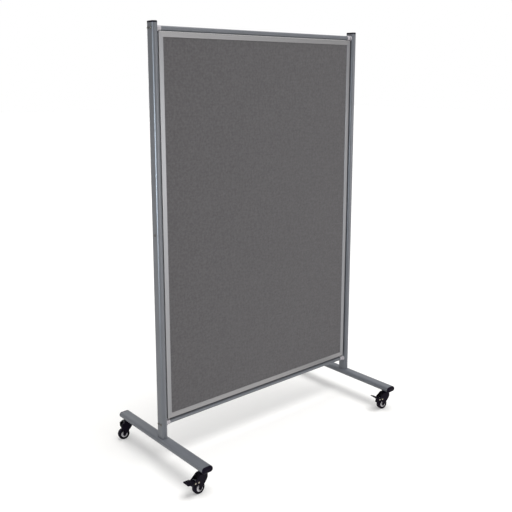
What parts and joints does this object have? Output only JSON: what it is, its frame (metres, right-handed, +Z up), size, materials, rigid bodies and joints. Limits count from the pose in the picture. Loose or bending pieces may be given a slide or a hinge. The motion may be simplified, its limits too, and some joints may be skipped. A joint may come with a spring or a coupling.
{
  "type": "mobile partition",
  "caption": "Free-standing office partition on braked casters: fabric pin-up panel in an aluminium frame, held by rails between flat oval posts on T feet.",
  "frame": {"origin": "on the floor, midway between the two posts and midway along the feet", "axes": "+Z up, +X to the right along the panel seen from the front, +Y towards the back"},
  "size_m": [1.218, 0.634, 1.8],
  "materials": {
    "post_paint": "satin silver-grey powder coat",
    "cap_plastic": "moulded black, fine grain",
    "zinc_steel": "bright zinc plate",
    "socket_plastic": "moulded light grey",
    "frame_alloy": "matt silver anodised",
    "key_alloy": "mill finish",
    "board": "soft fibre board",
    "panel_fabric": "dark grey felted weave, stretched flat",
    "swivel_nylon": "natural nylon",
    "caster_black": "black coated pressed steel",
    "bush_steel": "turned steel",
    "hub_grey": "moulded light grey",
    "tyre_black": "solid black rubber",
    "spring_steel": "bare spring steel",
    "pedal_black": "moulded black"
  },
  "bodies": {
    "stand": {"left_post": "post_paint", "right_post": "post_paint", "left_foot": "post_paint", "right_foot": "post_paint", "top_rail": "post_paint", "bottom_rail": "post_paint", "left_post_cap": "cap_plastic", "right_post_cap": "cap_plastic", "left_front_foot_cap": "cap_plastic", "left_rear_foot_cap": "cap_plastic", "right_front_foot_cap": "cap_plastic", "right_rear_foot_cap": "cap_plastic", "foot_bolts": "zinc_steel", "rail_bolts": "zinc_steel", "panel_side_bolts": "zinc_steel", "panel_side_nuts": "zinc_steel", "stem_nuts": "zinc_steel", "post_base_plugs": "zinc_steel", "top_left_rail_socket": "socket_plastic", "top_right_rail_socket": "socket_plastic", "bottom_left_rail_socket": "socket_plastic", "bottom_right_rail_socket": "socket_plastic", "frame_top": "frame_alloy", "frame_bottom": "frame_alloy", "frame_left": "frame_alloy", "frame_right": "frame_alloy", "panel_side_spacers": "frame_alloy", "frame_corner_keys": "key_alloy", "panel_core": "board", "front_fabric": "panel_fabric", "rear_fabric": "panel_fabric", "swivel_rings": "swivel_nylon", "caster_stems": "caster_black"},
    "left_front_swivel": {"left_front_fork": "caster_black", "left_front_axle": "caster_black", "left_front_bush": "bush_steel", "left_front_brake_pins": "zinc_steel", "left_front_brake_spring": "spring_steel"},
    "left_front_wheel": {"left_front_wheel_hub": "hub_grey", "left_front_tyre": "tyre_black"},
    "left_front_brake": {"left_front_pedal": "pedal_black"},
    "left_rear_swivel": {"left_rear_fork": "caster_black", "left_rear_axle": "caster_black", "left_rear_bush": "bush_steel"},
    "left_rear_wheel": {"left_rear_wheel_hub": "hub_grey", "left_rear_tyre": "tyre_black"},
    "right_front_swivel": {"right_front_fork": "caster_black", "right_front_axle": "caster_black", "right_front_bush": "bush_steel", "right_front_brake_pins": "zinc_steel", "right_front_brake_spring": "spring_steel"},
    "right_front_wheel": {"right_front_wheel_hub": "hub_grey", "right_front_tyre": "tyre_black"},
    "right_front_brake": {"right_front_pedal": "pedal_black"},
    "right_rear_swivel": {"right_rear_fork": "caster_black", "right_rear_axle": "caster_black", "right_rear_bush": "bush_steel"},
    "right_rear_wheel": {"right_rear_wheel_hub": "hub_grey", "right_rear_tyre": "tyre_black"}
  },
  "joints": [
    {"name": "left_front_swivel_turn", "type": "hinge", "parent": "stand", "child": "left_front_swivel", "pos_m": [-0.555, -0.28, 0.084], "axis": [0, 0, 1], "continuous": true},
    {"name": "left_front_wheel_spin", "type": "hinge", "parent": "left_front_swivel", "child": "left_front_wheel", "pos_m": [-0.578, -0.28, 0.025], "axis": [0, 1, 0], "continuous": true},
    {"name": "left_front_pedal_press", "type": "hinge", "parent": "left_front_swivel", "child": "left_front_brake", "pos_m": [-0.601, -0.28, 0.0545], "axis": [0, 1, 0], "range_deg": [0, 20]},
    {"name": "left_rear_swivel_turn", "type": "hinge", "parent": "stand", "child": "left_rear_swivel", "pos_m": [-0.555, 0.28, 0.084], "axis": [0, 0, 1], "continuous": true},
    {"name": "left_rear_wheel_spin", "type": "hinge", "parent": "left_rear_swivel", "child": "left_rear_wheel", "pos_m": [-0.5775, 0.28478, 0.025], "axis": [0.2079, 0.9781, 0], "continuous": true},
    {"name": "right_front_swivel_turn", "type": "hinge", "parent": "stand", "child": "right_front_swivel", "pos_m": [0.555, -0.28, 0.084], "axis": [0, 0, 1], "continuous": true},
    {"name": "right_front_wheel_spin", "type": "hinge", "parent": "right_front_swivel", "child": "right_front_wheel", "pos_m": [0.5325, -0.27522, 0.025], "axis": [0.2079, 0.9781, 0], "continuous": true},
    {"name": "right_front_pedal_press", "type": "hinge", "parent": "right_front_swivel", "child": "right_front_brake", "pos_m": [0.51001, -0.27044, 0.0545], "axis": [0.2079, 0.9781, 0], "range_deg": [-20, 0]},
    {"name": "right_rear_swivel_turn", "type": "hinge", "parent": "stand", "child": "right_rear_swivel", "pos_m": [0.555, 0.28, 0.084], "axis": [0, 0, 1], "continuous": true},
    {"name": "right_rear_wheel_spin", "type": "hinge", "parent": "right_rear_swivel", "child": "right_rear_wheel", "pos_m": [0.53213, 0.2824, 0.025], "axis": [0.1045, 0.9945, 0], "continuous": true}
  ]
}
